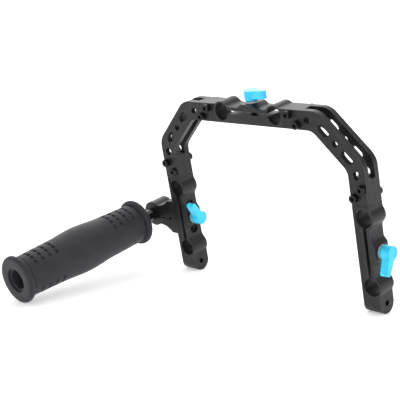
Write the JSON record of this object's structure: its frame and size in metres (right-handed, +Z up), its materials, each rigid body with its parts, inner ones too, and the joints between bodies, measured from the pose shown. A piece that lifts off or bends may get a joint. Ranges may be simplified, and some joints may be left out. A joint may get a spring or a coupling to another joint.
{
  "type": "camera cage",
  "caption": "C-shaped camera cage with split clamps for 15 mm rods, joined by slotted corner plates, with clamping levers and a rubber side handle.",
  "frame": {"origin": "on the floor under the middle of the whole part as it stands on its two feet and the grip's end collar", "axes": "+X along the top bar from the handle's side to the other leg, +Y back along the rods, +Z up"},
  "size_m": [0.2966, 0.1934, 0.1815],
  "materials": {
    "black_anodised": "satin black anodised, with paler machined edges",
    "blue_lever": "glossy sky-blue moulding",
    "black_screw": "black oxide",
    "steel_washer": "plain satin",
    "black_rubber": "matte, with a fine grain and moulded dimples"
  },
  "bodies": {
    "cage": {"top_rod_clamp": "black_anodised", "left_rod_clamp": "black_anodised", "right_rod_clamp": "black_anodised", "left_front_plate": "black_anodised", "left_rear_plate": "black_anodised", "right_front_plate": "black_anodised", "right_rear_plate": "black_anodised", "left_front_screws": "black_screw", "left_rear_screws": "black_screw", "right_front_screws": "black_screw", "right_rear_screws": "black_screw", "top_lever_washer": "steel_washer", "left_lever_washer": "steel_washer", "right_lever_washer": "steel_washer", "handle_bracket": "black_anodised", "bracket_screws": "black_screw", "bracket_clamp_screw": "black_screw"},
    "top_lever": {"top_lever_handle": "blue_lever", "top_clamp_screw": "black_screw"},
    "left_lever": {"left_lever_handle": "blue_lever", "left_clamp_screw": "black_screw"},
    "right_lever": {"right_lever_handle": "blue_lever", "right_clamp_screw": "black_screw"},
    "handle": {"handle_rod": "black_anodised", "handle_tube": "black_anodised", "tube_plug": "black_anodised", "tube_bolt": "black_screw", "tube_bolt_washer": "steel_washer", "rubber_grip": "black_rubber"}
  },
  "joints": [
    {"name": "top_lever_turn", "type": "hinge", "parent": "cage", "child": "top_lever", "pos_m": [0.01958, 0.05731, 0.16985], "axis": [0, -0.1858, 0.9826], "range_deg": [0, 180]},
    {"name": "left_lever_turn", "type": "hinge", "parent": "cage", "child": "left_lever", "pos_m": [-0.07897, 0.07919, 0.0542], "axis": [1, 0, 0], "range_deg": [0, 180]},
    {"name": "right_lever_turn", "type": "hinge", "parent": "cage", "child": "right_lever", "pos_m": [0.13648, 0.07919, 0.0542], "axis": [1, 0, 0], "range_deg": [0, 180]},
    {"name": "handle_slide", "type": "slide", "parent": "cage", "child": "handle", "axis": [0, -0.9826, -0.1858], "range_m": [-0.012, 0.009]}
  ]
}
